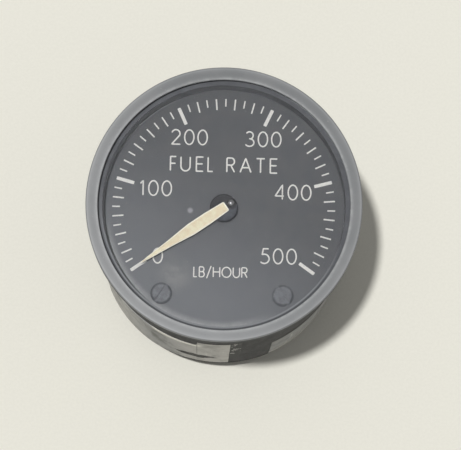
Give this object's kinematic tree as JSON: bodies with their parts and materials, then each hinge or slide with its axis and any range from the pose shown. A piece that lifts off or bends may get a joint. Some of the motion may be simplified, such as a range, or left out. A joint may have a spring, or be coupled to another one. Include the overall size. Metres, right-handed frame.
{
  "type": "panel fuel gauge",
  "caption": "Round clamp-mounted panel fuel gauge with a black can, grey bezel, slate dial, cream pointer, sealed moving-coil movement and rear receptacle.",
  "frame": {"origin": "on the gauge's axis at the open end of the rear receptacle, which it stands on", "axes": "+Z along the axis out of the dial, +Y towards the top of the dial, +X to the reader's right"},
  "size_m": [0.0526, 0.0526, 0.07],
  "materials": {
    "bezel_grey": "matte",
    "cover_glass": "gloss",
    "rubber_black": "matte",
    "spacer_dark": "matte",
    "dial_slate": "matte",
    "screw_black": "satin",
    "pointer_cream": "matte",
    "hub_black": "satin",
    "case_black": "satin",
    "ring_steel": "satin",
    "plate_alloy": "satin",
    "screw_steel": "satin",
    "brass": "satin",
    "jewel_red": "gloss",
    "spring_bronze": "satin",
    "coil_copper": "gloss",
    "soft_iron": "satin",
    "magnet_dark": "matte",
    "board_green": "gloss",
    "can_steel": "satin",
    "capacitor_blue": "gloss",
    "resistor_tan": "gloss",
    "trimmer_blue": "satin",
    "lead_tinned": "satin",
    "receptacle_alloy": "satin",
    "stud_steel": "satin",
    "insert_brown": "satin",
    "contact_gold": "gloss"
  },
  "bodies": {
    "case": {"bezel_ring": "bezel_grey", "cover_glass": "cover_glass", "glass_gasket": "rubber_black", "rear_gasket": "rubber_black", "receptacle_gasket": "rubber_black", "spacer_ring": "spacer_dark", "dial_plate": "dial_slate", "dial_screws": "screw_black", "case_shell": "case_black", "rear_cover": "case_black", "seat_ring": "ring_steel", "rear_ring": "ring_steel", "front_plate": "plate_alloy", "board_spacers": "plate_alloy", "frame_screws": "screw_steel", "movement_screws": "screw_steel", "board_rods": "screw_steel", "rod_nuts": "screw_steel", "stop_pins": "screw_steel", "cover_screws": "screw_steel", "fill_plug": "screw_steel", "receptacle_screws": "screw_steel", "movement_pillars": "brass", "front_bearing": "brass", "core_screws": "brass", "rear_bearing": "brass", "rear_lock_nut": "brass", "front_jewel": "jewel_red", "rear_jewel_screw": "jewel_red", "ring_core": "soft_iron", "pole_cup": "soft_iron", "magnet": "magnet_dark", "driver_board": "board_green", "power_board": "board_green", "transistors": "can_steel", "capacitors": "capacitor_blue", "resistors": "resistor_tan", "trimmer_bodies": "trimmer_blue", "internal_leads": "lead_tinned", "receptacle_leads": "lead_tinned", "receptacle_shell": "receptacle_alloy", "bayonet_studs": "stud_steel", "receptacle_insert": "insert_brown", "contact_pins": "contact_gold"},
    "pointer": {"pointer_blade": "pointer_cream", "pointer_hub": "hub_black", "pointer_rivet": "hub_black", "staff": "screw_steel", "spring_collets": "brass", "balance_cross": "plate_alloy", "balance_weights": "brass", "coil_arms": "plate_alloy", "coil_former": "plate_alloy", "moving_coil": "coil_copper"},
    "zero_arm": {"zero_arm": "brass", "front_hairspring": "spring_bronze"},
    "rear_arm": {"rear_arm": "brass", "rear_hairspring": "spring_bronze"},
    "trimmer_left": {"trimmer_screw_left": "brass"},
    "trimmer_right": {"trimmer_screw_right": "brass"}
  },
  "joints": [
    {"name": "pointer_sweep", "type": "hinge", "parent": "case", "child": "pointer", "pos_m": [0, 0, 0.05], "axis": [0, 0, -1], "range_deg": [-3, 253], "stiffness_Nm_per_rad": 0.00002},
    {"name": "zero_arm_turn", "type": "hinge", "parent": "case", "child": "zero_arm", "pos_m": [0, 0, 0.0572], "axis": [0, 0, 1], "range_deg": [-8, 8]},
    {"name": "rear_arm_turn", "type": "hinge", "parent": "case", "child": "rear_arm", "pos_m": [0, 0, 0.0393], "axis": [0, 0, 1], "range_deg": [-8, 8]},
    {"name": "trimmer_left_turn", "type": "hinge", "parent": "case", "child": "trimmer_left", "pos_m": [-0.0125, 0, 0.0208], "axis": [0, 0, -1], "range_deg": [-135, 135]},
    {"name": "trimmer_right_turn", "type": "hinge", "parent": "case", "child": "trimmer_right", "pos_m": [0.0125, 0, 0.0208], "axis": [0, 0, -1], "range_deg": [-135, 135]}
  ]
}
